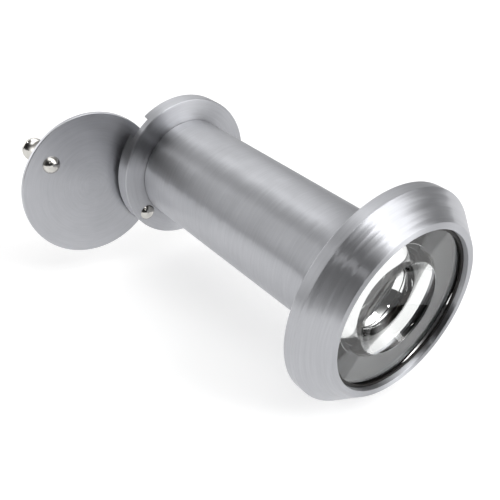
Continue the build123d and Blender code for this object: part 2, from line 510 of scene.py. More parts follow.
@dataclass(frozen=True)
class OpticalGlass(Finish):
    """Crown glass, ground and polished, with the faint haze of handling."""

    clear: str = "#FBFCFB"
    hazed: str = "#F4F6F5"
    ior: float = 1.52
    haze: float = 0.015
    haze_mm: float = 5.0

    def dress(self, tree: bpy.types.NodeTree, shader: bpy.types.Node) -> None:
        """Builds clear glass whose polish varies a little.

        Args:
            tree: The material's tree.
            shader: Its Principled shader.
        """
        polish = blotches(tree, self.haze_mm, 0.0, self.haze, detail=3.0)
        tree.links.new(polish, shader.inputs["Roughness"])
        stained(tree, shader, self.haze_mm, (self.clear, self.hazed), detail=3.0)
        shader.inputs["Transmission Weight"].default_value = 1.0
        shader.inputs["IOR"].default_value = self.ior


@dataclass(frozen=True)
class LightTable(Finish):
    """Opal acrylic over a lamp: matt and pale, and it softens its own shadows."""

    dark: str = "#C4C4C4"
    pale: str = "#CACACA"
    glow: float = 0.6
    cloud_mm: float = 30.0

    def dress(self, tree: bpy.types.NodeTree, shader: bpy.types.Node) -> None:
        """Builds the opal tone and its glow.

        Args:
            tree: The material's tree.
            shader: Its Principled shader.
        """
        stained(tree, shader, self.cloud_mm, (self.dark, self.pale))
        shader.inputs["Emission Color"].default_value = linear("#FFFFFF")
        shader.inputs["Emission Strength"].default_value = self.glow
        shader.inputs["Roughness"].default_value = 0.9
        shader.inputs["Specular IOR Level"].default_value = 0.0


SATIN = BrushedMetal("Brushed satin nickel, round the axis")
BRIGHT = PlainMetal("Tumbled bright nickel")
BLACKENED = PlainMetal(
    "Blackened brass", dark="#1C1A19", pale="#2E2B29", roughness=0.38, metallic=0.6
)
# The same black, made paler and browner all over: it shows as warm rings.
SMOKED = PlainMetal("Smoked brass", dark="#4A443E", pale="#6E665C", roughness=0.3)
# Turned and left bare: the tool leaves fine marks round the axis.
BRASS = BrushedMetal(
    "Turned brass", dark="#B09A68", pale="#C9B384", roughness=0.36, anisotropy=0.7
)
SPRING = PlainMetal("Rolled spring steel", dark="#8D8D90", pale="#A3A3A5", roughness=0.32)
RUBBER = MouldedRubber("Moulded grey rubber")
GLASS = OpticalGlass("Polished crown glass")
OPAL = LightTable("Opal acrylic light table")


# --- turned shapes --------------------------------------------------------------


@dataclass(frozen=True)
class Corner:
    """One corner of a turned outline.

    Attributes:
        radius: Distance from the axis.
        along: Place along the axis.
        edge: Radius of the rounding on the corner.
        zone: Which of the piece's finishes covers the surface from here on.
    """

    radius: float
    along: float
    edge: float = 0.0
    zone: int = 0


def arc(
    start: tuple[float, float], end: tuple[float, float], depth: float, steps: int, zone: int = 0
) -> list[Corner]:
    """Corners along a circular arc, without its first point.

    Args:
        start: First point, as radius and place along the axis.
        end: Last point.
        depth: How far the arc stands out to the left of the line from start to end.
        steps: Number of straight steps.
        zone: The finish on the arc.

    Returns:
        The corners, from the first step's end to the arc's end.
    """
    a, b = Vector(start), Vector(end)
    chord = b - a
    half = chord.length / 2
    radius = (half * half + depth * depth) / (2 * depth)
    left = Vector((-chord.y, chord.x)).normalized()
    centre = (a + b) / 2 + left * (depth - radius)
    turn = (b - centre).angle_signed(a - centre)
    corners = []
    for i in range(1, steps + 1):
        spoke = a - centre
        angle = turn * i / steps
        c, s = math.cos(angle), math.sin(angle)
        point = centre + Vector((spoke.x * c - spoke.y * s, spoke.x * s + spoke.y * c))
        corners.append(Corner(max(point.x, 0.0), point.y, zone=zone))
    return corners


def rounded(corners: Sequence[Corner], closed: bool, steps: int = 5) -> list[Corner]:
    """Rounds the corners of an outline and adds a line beside each rounding.

    Args:
        corners: The outline's corners in order.
        closed: True if the last corner joins the first.
        steps: Steps in each rounding.

    Returns:
        The finer outline.
    """
    done: list[Corner] = []
    count = len(corners)
    for i, corner in enumerate(corners):
        end = not closed and i in (0, count - 1)
        if corner.edge <= 0 or end:
            done.append(corner)
            continue
        before, after = corners[i - 1], corners[(i + 1) % count]
        here = Vector((corner.radius, corner.along))
        back = Vector((before.radius, before.along)) - here
        ahead = Vector((after.radius, after.along)) - here
        room = min(back.length, ahead.length)
        back.normalize()
        ahead.normalize()
        half = back.angle(ahead) / 2
        cut = min(corner.edge / math.tan(half), 0.45 * room)
        centre = here + (back + ahead).normalized() * (cut / math.cos(half))
        beside = min(0.06, 0.3 * (room - cut))
        spoke = here + back * cut - centre
        turn = (here + ahead * cut - centre).angle_signed(spoke)
        first = here + back * (cut + beside)
        done.append(Corner(first.x, first.y, zone=before.zone))
        for k in range(steps + 1):
            c, s = math.cos(turn * k / steps), math.sin(turn * k / steps)
            point = centre + Vector((spoke.x * c - spoke.y * s, spoke.x * s + spoke.y * c))
            done.append(Corner(point.x, point.y, zone=corner.zone))
        last = here + ahead * (cut + beside)
        done.append(Corner(last.x, last.y, zone=corner.zone))
    return done


def turned(
    name: str,
    corners: Sequence[Corner],
    place: Optional[Matrix] = None,
    segments: int = LATHE_SEGMENTS,
) -> bpy.types.Object:
    """Turns an outline about the Y axis into a closed mesh.

    Args:
        name: The piece's name.
        corners: The outline. It closes on itself, or starts and ends on the axis.
        place: Where the turned shape goes, in metres.
        segments: Number of flats round the axis.

    Returns:
        The new object, at the origin, with its place in its mesh.
    """
    on_axis = corners[0].radius < 1e-6
    outline = rounded(corners, closed=not on_axis)
    work = bmesh.new()
    rings: list[list[bmesh.types.BMVert]] = []
    for point in outline:
        if point.radius < 1e-6:
            rings.append([work.verts.new((0, point.along * MM, 0))])
            continue
        ring = []
        for k in range(segments):
            turn = 2 * math.pi * k / segments
            x, z = point.radius * math.cos(turn), point.radius * math.sin(turn)
            ring.append(work.verts.new((x * MM, point.along * MM, z * MM)))
        rings.append(ring)
    pairs = len(rings) - 1 if on_axis else len(rings)
    for i in range(pairs):
        low, high = rings[i], rings[(i + 1) % len(rings)]
        if len(low) == len(high) == 1:
            continue
        for k in range(segments):
            n = (k + 1) % segments
            if len(low) == 1:
                corners_here = (low[0], high[n], high[k])
            elif len(high) == 1:
                corners_here = (low[k], low[n], high[0])
            else:
                corners_here = (low[k], low[n], high[n], high[k])
            face = work.faces.new(corners_here)
            face.material_index = outline[i].zone
    bmesh.ops.recalc_face_normals(work, faces=work.faces)
    mesh = bpy.data.meshes.new(name)
    work.to_mesh(mesh)
    work.free()
    if place is not None:
        mesh.transform(place)
    piece = bpy.data.objects.new(name, mesh)
    bpy.context.scene.collection.objects.link(piece)
    return piece


def ring(inner: float, outer: float, low: float, high: float, edge: float = 0.08) -> list[Corner]:
    """The outline of a plain washer or sleeve with softened edges."""
    return [
        Corner(inner, low, edge),
        Corner(outer, low, edge),
        Corner(outer, high, edge),
        Corner(inner, high, edge),
    ]


# --- geometry node tools --------------------------------------------------------

# The mark on what a tool adds, which takes the tool's finish.
WORKED = "worked"
# A cutter that a piece doesn't need stands this far off, in metres.
AWAY = 1.0
NO_ROUND_CUTS = {
    "Pocket_place": Vector((0, AWAY, 0)),
    "Pocket_radius": MM,
    "Pocket_height": MM,
    "Hole_place": Vector((0, AWAY, 0)),
    "Hole_radius": MM,
    "Hole_height": MM,
}


class Tool:
    """A geometry node tree that works on a piece and leaves a plain mesh.

    Each tool declares its sizes as named inputs, so that one tree serves several
    pieces.
    """

    title: str = "tool"
    sizes: dict[str, str] = {}
    adds_only: bool = False

    def __init__(self) -> None:
        """Builds the tree with a geometry input, the sizes and a finish."""
        self.tree = bpy.data.node_groups.new(self.title, "GeometryNodeTree")
        face = self.tree.interface
        face.new_socket("Geometry", in_out="INPUT", socket_type="NodeSocketGeometry")
        for name, kind in self.sizes.items():
            face.new_socket(name, in_out="INPUT", socket_type=kind)
        face.new_socket("Finish", in_out="INPUT", socket_type="NodeSocketMaterial")
        face.new_socket("Geometry", in_out="OUTPUT", socket_type="NodeSocketGeometry")
        self.inputs = add_node(self.tree, "NodeGroupInput").outputs
        self.close(self.build())

    def build(self) -> bpy.types.NodeSocket:
        """Adds the tool's own nodes and returns the worked geometry."""
        raise NotImplementedError

    def added(self, geometry: bpy.types.NodeSocket) -> bpy.types.NodeSocket:
        """Joins new geometry to the piece and marks it for the tool's finish.

        Args:
            geometry: The new geometry.

        Returns:
            The piece with the new geometry in it.
        """
        marked = add_node(
            self.tree,
            "GeometryNodeStoreNamedAttribute",
            {"Geometry": geometry, "Name": WORKED, "Value": True},
            data_type="BOOLEAN",
            domain="FACE",
        )
        join = add_node(self.tree, "GeometryNodeJoinGeometry", {0: marked.outputs[0]})
        self.tree.links.new(self.inputs["Geometry"], join.inputs[0])
        return join.outputs[0]

    def close(self, geometry: bpy.types.NodeSocket) -> None:
        """Ends the tree with Realize Instances and Set Material.

        Args:
            geometry: The worked geometry.
        """
        real = add_node(self.tree, "GeometryNodeRealizeInstances", {0: geometry})
        inputs = {"Geometry": real.outputs[0], "Material": self.inputs["Finish"]}
        if self.adds_only:
            marked = add_node(
                self.tree, "GeometryNodeInputNamedAttribute", {"Name": WORKED}, data_type="BOOLEAN"
            )
            inputs["Selection"] = marked.outputs["Attribute"]
        dressed = add_node(self.tree, "GeometryNodeSetMaterial", inputs)
        add_node(self.tree, "NodeGroupOutput", {0: dressed.outputs[0]})

    def work(self, piece: bpy.types.Object, finish: Finish, **sizes: Any) -> None:
        """Runs the tool on a piece and keeps the result as its plain mesh.

        Args:
            piece: The piece to work on.
            finish: The finish that the tool leaves.
            sizes: A value for each named size, with spaces written as underscores.
        """
        modifier = piece.modifiers.new(self.title, "NODES")
        modifier.node_group = self.tree
        wanted = {name.replace("_", " "): value for name, value in sizes.items()}
        wanted["Finish"] = finish.material()
        for item in self.tree.interface.items_tree:
            if item.in_out == "INPUT" and item.name in wanted:
                modifier[item.identifier] = wanted.pop(item.name)
        if wanted:
            raise ValueError(f"{self.title} has no input named {sorted(wanted)}")
        graph = bpy.context.evaluated_depsgraph_get()
        made = bpy.data.meshes.new_from_object(piece.evaluated_get(graph), depsgraph=graph)
        if WORKED in made.attributes:
            made.attributes.remove(made.attributes[WORKED])
        piece.modifiers.remove(modifier)
        old = piece.data
        piece.data = made
        bpy.data.meshes.remove(old)


class ThreadCutter(Tool):
    """Winds a V-shaped screw thread on a turned surface, along Y."""

    title = "screw thread"
    adds_only = True
    sizes = {
        "Root radius": "NodeSocketFloat",
        "Depth": "NodeSocketFloat",
        "Pitch": "NodeSocketFloat",
        "Length": "NodeSocketFloat",
        "Start": "NodeSocketFloat",
    }

    def build(self) -> bpy.types.NodeSocket:
        """A helix at the root, swept with a diamond whose point is the crest."""
        given = self.inputs
        turns = add_node(
            self.tree, "ShaderNodeMath", {0: given["Length"], 1: given["Pitch"]}, operation="DIVIDE"
        )
        start = add_node(self.tree, "ShaderNodeCombineXYZ", {1: given["Start"]})
        helix = add_node(
            self.tree,
            "GeometryNodeCurveSpiral",
            {
                "Resolution": 72,
                "Rotations": turns.outputs[0],
                "Start Radius": given["Root radius"],
                "End Radius": given["Root radius"],
                "Height": given["Length"],
            },
        )
        upright = add_node(
            self.tree, "GeometryNodeSetCurveNormal", {"Curve": helix.outputs[0]}, mode="Z_UP"
        )
        point = add_node(
            self.tree,
            "GeometryNodeCurvePrimitiveCircle",
            {"Resolution": 4, "Radius": given["Depth"]},
        )
        swept = add_node(
            self.tree,
            "GeometryNodeCurveToMesh",
            {"Curve": upright.outputs[0], "Profile Curve": point.outputs[0], "Fill Caps": True},
        )
        laid = add_node(
            self.tree,
            "GeometryNodeTransform",
            {
                "Geometry": swept.outputs[0],
                "Translation": start.outputs[0],
                "Rotation": (-math.pi / 2, 0, 0),
            },
        )
        return self.added(laid.outputs[0])


class NotchCutter(Tool):
    """Mills equal notches round Y, and one round pocket and hole beside it."""

    title = "notches and holes"
    sizes = {
        "Count": "NodeSocketInt",
        "Phase": "NodeSocketFloat",
        "Reach": "NodeSocketFloat",
        "Level": "NodeSocketFloat",
        "Notch": "NodeSocketVector",
        "Pocket place": "NodeSocketVector",
        "Pocket radius": "NodeSocketFloat",
        "Pocket height": "NodeSocketFloat",
        "Hole place": "NodeSocketVector",
        "Hole radius": "NodeSocketFloat",
        "Hole height": "NodeSocketFloat",
    }

    def _drill(self, name: str) -> bpy.types.NodeSocket:
        """A round cutter along Y.

        Args:
            name: The first word of the inputs that hold its place and sizes.

        Returns:
            The cutter.
        """
        given = self.inputs
        cutter = add_node(
            self.tree,
            "GeometryNodeMeshCylinder",
            {
                "Vertices": 64,
                "Radius": given[f"{name} radius"],
                "Depth": given[f"{name} height"],
            },
        )
        return add_node(
            self.tree,
            "GeometryNodeTransform",
            {
                "Geometry": cutter.outputs["Mesh"],
                "Translation": given[f"{name} place"],
                "Rotation": (-math.pi / 2, 0, 0),
            },
        ).outputs[0]

    def build(self) -> bpy.types.NodeSocket:
        """Blocks set round the axis, a pocket and a hole, cut from the piece."""
        given = self.inputs
        maths = "ShaderNodeMath"
        step = add_node(self.tree, maths, {0: 2 * math.pi, 1: given["Count"]}, operation="DIVIDE")
        index = add_node(self.tree, "GeometryNodeInputIndex").outputs[0]
        round_axis = add_node(
            self.tree, maths, {0: index, 1: step.outputs[0]}, operation="MULTIPLY"
        )
        turn = add_node(
            self.tree, maths, {0: round_axis.outputs[0], 1: given["Phase"]}, operation="ADD"
        ).outputs[0]
        cosine = add_node(self.tree, maths, {0: turn}, operation="COSINE").outputs[0]
        sine = add_node(self.tree, maths, {0: turn}, operation="SINE").outputs[0]
        across, up = (
            add_node(self.tree, maths, {0: part, 1: given["Reach"]}, operation="MULTIPLY").outputs[0]
            for part in (cosine, sine)
        )
        spot = add_node(
            self.tree, "ShaderNodeCombineXYZ", {0: across, 1: given["Level"], 2: up}
        ).outputs[0]
        back = add_node(self.tree, maths, {0: turn, 1: -1.0}, operation="MULTIPLY")
        euler = add_node(self.tree, "ShaderNodeCombineXYZ", {1: back.outputs[0]})
        points = add_node(self.tree, "GeometryNodePoints", {"Count": given["Count"], "Position": spot})
        block = add_node(self.tree, "GeometryNodeMeshCube", {"Size": given["Notch"]})
        facing = add_node(
            self.tree,
            "FunctionNodeEulerToRotation",
            {0: euler.outputs[0]},
        )
        blocks = add_node(
            self.tree,
            "GeometryNodeInstanceOnPoints",
            {
                "Points": points.outputs[0],
                "Instance": block.outputs["Mesh"],
                "Rotation": facing.outputs[0],
            },
        )
        solid = add_node(self.tree, "GeometryNodeRealizeInstances", {0: blocks.outputs[0]})
        cut = add_node(
            self.tree,
            "GeometryNodeMeshBoolean",
            {"Mesh 1": given["Geometry"]},
            operation="DIFFERENCE",
            solver="EXACT",
        )
        for cutter in (solid.outputs[0], self._drill("Pocket"), self._drill("Hole")):
            self.tree.links.new(cutter, cut.inputs["Mesh 2"])
        return cut.outputs["Mesh"]


class GlareGroover(Tool):
    """Sets a row of fine ribs in a bore, so that it throws no stray light."""

    title = "glare ribs"
    adds_only = True
    sizes = {
        "Bore radius": "NodeSocketFloat",
        "Rib": "NodeSocketFloat",
        "Pitch": "NodeSocketFloat",
        "Count": "NodeSocketInt",
        "Start": "NodeSocketFloat",
    }

    def build(self) -> bpy.types.NodeSocket:
        """Thin rings, one pitch apart, joined to the piece."""
        given = self.inputs
        start = add_node(self.tree, "ShaderNodeCombineXYZ", {1: given["Start"]})
        offset = add_node(self.tree, "ShaderNodeCombineXYZ", {1: given["Pitch"]})
        rows = add_node(
            self.tree,
            "GeometryNodeMeshLine",
            {
                "Count": given["Count"],
                "Start Location": start.outputs[0],
                "Offset": offset.outputs[0],
            },
        )
        circle = add_node(
            self.tree,
            "GeometryNodeCurvePrimitiveCircle",
            {"Resolution": 96, "Radius": given["Bore radius"]},
        )
        point = add_node(
            self.tree,
            "GeometryNodeCurvePrimitiveCircle",
            {"Resolution": 4, "Radius": given["Rib"]},
        )
        hoop = add_node(
            self.tree,
            "GeometryNodeCurveToMesh",
            {"Curve": circle.outputs[0], "Profile Curve": point.outputs[0]},
        )
        laid = add_node(
            self.tree,
            "GeometryNodeTransform",
            {"Geometry": hoop.outputs[0], "Rotation": (-math.pi / 2, 0, 0)},
        )
        hoops = add_node(
            self.tree,
            "GeometryNodeInstanceOnPoints",
            {"Points": rows.outputs[0], "Instance": laid.outputs[0]},
        )
        solid = add_node(self.tree, "GeometryNodeRealizeInstances", {0: hoops.outputs[0]})
        return self.added(solid.outputs[0])


# --- sub-assemblies -------------------------------------------------------------


class SubAssembly:
    """A group of pieces that rides on one body of the frame."""

    body: Body

    def fit(self, piece: bpy.types.Object, slot: Slot, *finishes: Finish) -> bpy.types.Object:
        """Finishes a piece and puts it on the body, in its node's stead.

        Args:
            piece: The piece, named after the node that it stands for.
            slot: The record's slot; not used.
            finishes: The finish of each zone of its mesh.

        Returns:
            The piece.
        """
        if finishes:
            piece.data.materials.clear()
            for finish in finishes:
                piece.data.materials.append(finish.material())
        for face in piece.data.polygons:
            face.use_smooth = True
        piece.data.set_sharp_from_angle(angle=SHARP_ANGLE)
        node = piece.name.removesuffix("_look")
        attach(piece, self.body.value)
        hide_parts(node)
        LOG.info("%s: %d faces on %s", piece.name, len(piece.data.polygons), self.body.value)
        return piece

    def make(self) -> list[bpy.types.Object]:
        """Builds and dresses the group's pieces."""
        raise NotImplementedError


@dataclass
class ExteriorUnit(SubAssembly):
    """The bezel, the barrel brazed into it, and what holds the front glass."""

    threads: ThreadCutter
    rim: float = 2.7
    lip: float = 1.45
    lip_radius: float = 19.45
    floor: float = 1.6
    spigot: float = 12.5
    shoulder: float = 0.5
    bore: float = 11.6
    thread_root: float = 11.95
    thread_start: float = 25.0
    pitch: float = 1.0
    body: Body = Body.EXTERIOR

    def make_bezel(self) -> bpy.types.Object:
        """The collar: a rim, a long bevel, a narrow lip and a well coloured black on its wall and
        floor.
        """
        low, high = box_mm("bezel")
        barrel = box_mm("outer_barrel")[1].x
        well = self.lip_radius - self.lip
        outline = [
            Corner(self.spigot, -self.shoulder),
            Corner(barrel, high.y),
            Corner(high.x, high.y, 0.3),
            Corner(high.x, -self.rim, 0.3),
            Corner(self.lip_radius, low.y, 0.3),
            Corner(well, low.y, 0.12),
            # From here the well's wall and floor are coloured black.
            Corner(well, low.y + 0.2, zone=1),
            Corner(well, -self.floor, zone=1),
            Corner(self.spigot, -self.floor),
        ]
        return self.fit(turned("bezel_look", outline), Slot.SATIN_NICKEL, SATIN, BLACKENED)

    def make_barrel(self) -> bpy.types.Object:
        """The smooth tube, threaded inside for the interior unit."""
        low, high = box_mm("outer_barrel")
        outline = [
            Corner(self.bore, low.y, zone=2),
            Corner(self.spigot, low.y),
            Corner(self.spigot, -self.shoulder),
            Corner(high.x, 0.0),
            Corner(high.x, high.y, 0.35),
            Corner(self.thread_root, high.y, 0.1, zone=1),
            Corner(self.thread_root, self.thread_start, zone=1),
            Corner(self.bore, self.thread_start - 0.5, zone=2),
        ]
        piece = turned("outer_barrel_look", outline)
        for finish in (SATIN, BRASS, BLACKENED):
            piece.data.materials.append(finish.material())
        self.threads.work(
            piece,
            BRASS,
            Root_radius=self.thread_root * MM,
            Depth=(self.thread_root - self.bore) * MM,
            Pitch=self.pitch * MM,
            Length=(high.y - self.thread_start - 2) * MM,
            Start=(self.thread_start + 1) * MM,
        )
        return self.fit(piece, Slot.SATIN_NICKEL)

    def make_lock_ring(self) -> bpy.types.Object:
        """The thin black ring that keeps the glass in the well."""
        low, high = box_mm("objective_lock_ring")
        outline = ring(high.x - 0.7, high.x - 0.03, low.y, high.y - 0.02)
        return self.fit(
            turned("objective_lock_ring_look", outline), Slot.BLACKENED_BRASS, BLACKENED
        )

    def make_gasket(self) -> bpy.types.Object:
        """The flat gasket under the glass."""
        low, high = box_mm("lens_gasket")
        outline = ring(12.0, high.x, low.y + 0.01, high.y - 0.02, 0.05)
        return self.fit(turned("lens_gasket_look", outline), Slot.GREY_RUBBER, RUBBER)

    def make(self) -> list[bpy.types.Object]:
        """Builds and dresses the bezel, the barrel, the ring and the gasket."""
        return [
            self.make_bezel(),
            self.make_barrel(),
            self.make_lock_ring(),
            self.make_gasket(),
        ]


@dataclass
class LensStack(SubAssembly):
    """The front glass and the lenses, spacers and rings behind it."""

    notches: NotchCutter
    ribs: GlareGroover
    hollow: float = 10.4
    hollow_depth: float = 6.0
    boss: float = 9.5
    shoulder: float = -2.02
    cone_rise: float = 1.5
    cone_angle: float = 13.9
    spacer_bore: float = 10.3
    ring_bore: float = 8.5
    rib: float = 0.12
    rib_margin: float = 0.4
    slot_reach: float = 10.0
    slot: tuple[float, float, float] = (4.0, 2.4, 1.6)
    gap: float = 0.03
    body: Body = Body.EXTERIOR

    def make_objective(self) -> bpy.types.Object:
        """The wide front glass: a deep hollow, and a rear rim cut to a shallow cone.

        The cone turns light back at one side and lets it through at the other, so
        the rim shows a white crescent there and the grey gasket elsewhere.
        """
        low, high = box_mm("objective_lens")
        front, rear = low.y, high.y - self.gap
        rise = (high.x - self.boss) * math.tan(math.radians(self.cone_angle))
        outline = [Corner(0.0, front + self.hollow_depth)]
        outline += arc((0.0, front + self.hollow_depth), (self.hollow, front), self.sag(), 40)
        outline[-1] = Corner(self.hollow, front, 0.3)
        outline += [
            Corner(high.x, front, 0.3),
            Corner(high.x, self.shoulder - self.cone_rise, 0.1),
            Corner(self.boss, self.shoulder - self.cone_rise + rise, 0.1),
            Corner(self.boss, rear, 0.2),
            Corner(0.0, rear),
        ]
        return self.fit(turned("objective_lens_look", outline), Slot.OPTICAL_GLASS, GLASS)

    def sag(self) -> float:
        """How far the hollow's wall stands off the line from its pole to its rim."""
        return self.chord_sag(self.hollow, self.hollow_depth)

    @staticmethod
    def chord_sag(rim: float, depth: float) -> float:
        """The same for any hollow.

        Args:
            rim: The hollow's radius at the face.
            depth: Its depth on the axis.

        Returns:
            The distance from the chord to the arc.
        """
        radius = (rim * rim + depth * depth) / (2 * depth)
        half = math.hypot(rim, depth) / 2
        return radius - math.sqrt(radius * radius - half * half)

    def make_small_lens(self, node: str, rim: float, depth: float) -> bpy.types.Object:
        """A lens of the stack, hollow towards the outside.

        Args:
            node: The frame's node that it stands for.
            rim: The hollow's radius.
            depth: The hollow's depth.

        Returns:
            The lens.
        """
        low, high = box_mm(node)
        front, rear = low.y + self.gap, high.y - self.gap
        outline = [Corner(0.0, front + depth)]
        outline += arc((0.0, front + depth), (rim, front), self.chord_sag(rim, depth), 28)
        outline += [
            Corner(high.x - 0.05, front, 0.15),
            Corner(high.x - 0.05, rear, 0.15),
            Corner(0.0, rear),
        ]
        return self.fit(turned(node + "_look", outline), Slot.OPTICAL_GLASS, GLASS)

    def make_spacer(self, node: str, pitch: float = 0.5) -> bpy.types.Object:
        """A spacer with glare ribs in its bore.

        Args:
            node: The frame's node that it stands for.
            pitch: The distance between ribs.

        Returns:
            The spacer.
        """
        low, high = box_mm(node)
        piece = turned(node + "_look", ring(self.spacer_bore, high.x - 0.02, low.y, high.y))
        piece.data.materials.append(SMOKED.material())
        count = int((high.y - low.y - 2 * self.rib_margin) / pitch) + 1
        self.ribs.work(
            piece,
            SMOKED,
            Bore_radius=self.spacer_bore * MM,
            Rib=self.rib * MM,
            Pitch=pitch * MM,
            Count=count,
            Start=(low.y + self.rib_margin) * MM,
        )
        return self.fit(piece, Slot.BLACKENED_BRASS)

    def make_baffle(self) -> bpy.types.Object:
        """The stop behind the third lens."""
        low, high = box_mm("stack_baffle")
        outline = ring(5.0, high.x - 0.02, low.y, high.y - 0.01, 0.1)
        return self.fit(turned("stack_baffle_look", outline), Slot.BLACKENED_BRASS, BLACKENED)

    def make_stack_ring(self) -> bpy.types.Object:
        """The threaded ring that clamps the stack, slotted for a driver."""
        low, high = box_mm("lens_stack_ring")
        outline = ring(self.ring_bore, high.x - 0.02, low.y, high.y, 0.12)
        piece = turned("lens_stack_ring_look", outline)
        self.notches.work(
            piece,
            BLACKENED,
            Count=2,
            Phase=0.0,
            Reach=self.slot_reach * MM,
            Level=high.y * MM,
            Notch=Vector(self.slot) * MM,
            **NO_ROUND_CUTS,
        )
        return self.fit(piece, Slot.BLACKENED_BRASS, BLACKENED)

    def make(self) -> list[bpy.types.Object]:
        """Builds and dresses the stack from the front glass back."""
        return [
            self.make_objective(),
            self.make_spacer("front_spacer"),
            self.make_small_lens("second_lens", 7.6, 2.8),
            self.make_spacer("middle_spacer"),
            self.make_small_lens("third_lens", 6.0, 1.8),
            self.make_baffle(),
            self.make_stack_ring(),
        ]


@dataclass
class InteriorUnit(SubAssembly):
    """The threaded tube, the room-side flange and the eyepiece."""

    threads: ThreadCutter
    notches: NotchCutter
    ribs: GlareGroover
    tube_bore: float = 9.2
    tube_seat: float = 10.0
    seat_level: float = 59.4
    thread_root: float = 11.08
    thread_crest: float = 11.48
    pitch: float = 1.0
    plate: float = 1.6
    recess: float = 16.2
    notch_angle: float = 131.0
    notch_width: float = 5.7
    notch_depth: float = 1.95
    relief: float = 3.1
    rivet_hole: float = 1.15
    ring_bore: float = 8.2
    ring_mouth: float = 9.3
    thread_end: float = 62.0
    rib: float = 0.15
    rib_pitch: float = 1.0
    rib_count: int = 30
    notch_reach: float = 7.6
    slot: tuple[float, float, float] = (4.0, 1.6, 1.4)
    body: Body = Body.INTERIOR

    def make_tube(self) -> bpy.types.Object:
        """The tube that screws into the barrel, blackened and ribbed inside."""
        low, high = box_mm("inner_tube")
        outline = [
            Corner(self.tube_bore, low.y, 0.1),
            Corner(self.thread_root - 0.4, low.y, 0.1),
            Corner(self.thread_root, low.y + 0.5),
            Corner(self.thread_root, self.thread_end),
            Corner(high.x - 0.03, self.thread_end + 0.4),
            Corner(high.x - 0.03, high.y - 0.02),
            Corner(self.tube_seat, high.y - 0.02, zone=1),
            Corner(self.tube_seat, self.seat_level, zone=1),
            Corner(self.tube_bore, self.seat_level, zone=1),
        ]
        piece = turned("inner_tube_look", outline)
        piece.data.materials.append(BRASS.material())
        piece.data.materials.append(BLACKENED.material())
        self.threads.work(
            piece,
            BRASS,
            Root_radius=self.thread_root * MM,
            Depth=(self.thread_crest - self.thread_root) * MM,
            Pitch=self.pitch * MM,
            Length=(self.thread_end - low.y - 2) * MM,
            Start=(low.y + 1) * MM,
        )
        self.ribs.work(
            piece,
            BLACKENED,
            Bore_radius=self.tube_bore * MM,
            Rib=self.rib * MM,
            Pitch=self.rib_pitch * MM,
            Count=self.rib_count,
            Start=(low.y + 2) * MM,
        )
        return self.fit(piece, Slot.TURNED_BRASS)

    def make_flange(self) -> bpy.types.Object:
        """The flange: a plate and a lip, notched, with the pivot's pocket."""
        low, high = box_mm("interior_flange")
        inner = box_mm("inner_tube")[1].x
        pivot = Vector(joint("cover_swing")["pos_m"]) / MM
        floor = low.y + self.plate
        outline = [
            Corner(inner, low.y, 0.1),
            Corner(high.x, low.y, 0.3),
            Corner(high.x, high.y, 0.3),
            Corner(self.recess, high.y, 0.2),
            Corner(self.recess, floor, 0.15),
            Corner(inner, floor),
        ]
        piece = turned("interior_flange_look", outline)
        self.notches.work(
            piece,
            SATIN,
            Count=2,
            Phase=math.radians(self.notch_angle),
            Reach=high.x * MM,
            Level=high.y * MM,
            Notch=Vector((self.notch_reach, 2 * self.notch_depth, self.notch_width)) * MM,
            Pocket_place=Vector((pivot.x, floor + 3.02, pivot.z)) * MM,
            Pocket_radius=self.relief * MM,
            Pocket_height=6.0 * MM,
            Hole_place=Vector((pivot.x, low.y, pivot.z)) * MM,
            Hole_radius=self.rivet_hole * MM,
            Hole_height=8.0 * MM,
        )
        return self.fit(piece, Slot.SATIN_NICKEL, SATIN)

    def make_eyepiece(self) -> bpy.types.Object:
        """The lens that the eye looks into."""
        low, high = box_mm("eyepiece_lens")
        crown = low.y + 2.0
        rim = high.x - 0.05
        height = high.y - crown
        outline = [
            Corner(0.0, low.y + 0.03),
            Corner(rim, low.y + 0.03, 0.15),
            Corner(rim, crown),
        ]
        sag = LensStack.chord_sag(rim, height)
        outline += arc((rim, crown), (0.0, high.y), -sag, 28)
        return self.fit(turned("eyepiece_lens_look", outline), Slot.OPTICAL_GLASS, GLASS)

    def make_eyepiece_ring(self) -> bpy.types.Object:
        """The ring round the eyepiece: a coned mouth and two spanner slots."""
        low, high = box_mm("eyepiece_ring")
        outline = [
            Corner(self.ring_bore, low.y, 0.08),
            Corner(high.x - 0.03, low.y, 0.08),
            Corner(high.x - 0.03, high.y, 0.08),
            Corner(self.ring_mouth, high.y, 0.08),
            Corner(self.ring_bore, low.y + 1.2, 0.15),
        ]
        piece = turned("eyepiece_ring_look", outline)
        self.notches.work(
            piece,
            BLACKENED,
            Count=2,
            Phase=math.radians(90),
            Reach=high.x * MM,
            Level=high.y * MM,
            Notch=Vector(self.slot) * MM,
            **NO_ROUND_CUTS,
        )
        return self.fit(piece, Slot.BLACKENED_BRASS, BLACKENED)

    def make_baffle(self) -> bpy.types.Object:
        """The stop at the tube's front end."""
        low, high = box_mm("tube_baffle")
        outline = ring(4.5, high.x - 0.02, low.y, high.y, 0.1)
        return self.fit(turned("tube_baffle_look", outline), Slot.BLACKENED_BRASS, BLACKENED)

    def make(self) -> list[bpy.types.Object]:
        """Builds and dresses the room-side pieces."""
        return [
            self.make_tube(),
            self.make_flange(),
            self.make_eyepiece(),
            self.make_eyepiece_ring(),
            self.make_baffle(),
        ]


